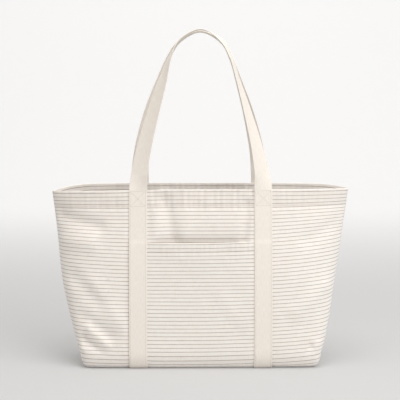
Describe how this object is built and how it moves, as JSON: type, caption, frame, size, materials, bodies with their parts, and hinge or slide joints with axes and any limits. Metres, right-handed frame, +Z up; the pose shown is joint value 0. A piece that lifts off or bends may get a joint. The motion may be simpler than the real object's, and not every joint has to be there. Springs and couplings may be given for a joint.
{
  "type": "canvas tote bag",
  "caption": "Large open-topped tote bag of striped canvas with a squared base, webbing straps that run up the faces into upright carrying handles, and a slip pocket on the front.",
  "frame": {"origin": "on the floor, under the middle of the base", "axes": "+Z up through the mouth, -Y out of the front, which has the pocket, +X to the right as seen from the front"},
  "size_m": [0.632, 0.1658, 0.7129],
  "materials": {
    "striped_canvas": "natural cotton canvas with fine woven grey stripes",
    "webbing": "natural cotton webbing, twill faced",
    "binding_tape": "natural cotton tape",
    "thread": "natural spun thread"
  },
  "bodies": {
    "bag": {"front_panel": "striped_canvas", "back_panel": "striped_canvas", "front_pocket": "striped_canvas", "front_left_strap": "webbing", "front_right_strap": "webbing", "back_left_strap": "webbing", "back_right_strap": "webbing", "left_side_seam_binding": "binding_tape", "right_side_seam_binding": "binding_tape", "base_seam_binding": "binding_tape", "left_corner_seam_binding": "binding_tape", "right_corner_seam_binding": "binding_tape", "front_left_box_stitching": "thread", "front_right_box_stitching": "thread", "back_left_box_stitching": "thread", "back_right_box_stitching": "thread", "front_left_edge_stitching": "thread", "front_right_edge_stitching": "thread", "back_left_edge_stitching": "thread", "back_right_edge_stitching": "thread", "front_hem_stitching": "thread", "back_hem_stitching": "thread", "pocket_hem_stitching": "thread"},
    "front_handle_loop": {"front_handle": "webbing"},
    "back_handle_loop": {"back_handle": "webbing"}
  },
  "joints": [
    {"name": "front_handle_swing", "type": "hinge", "parent": "bag", "child": "front_handle_loop", "pos_m": [0, -0.0532, 0.3773], "axis": [1, 0, 0], "range_deg": [0, 165]},
    {"name": "back_handle_swing", "type": "hinge", "parent": "bag", "child": "back_handle_loop", "pos_m": [0, 0.0712, 0.3773], "axis": [-1, 0, 0], "range_deg": [0, 165]}
  ]
}
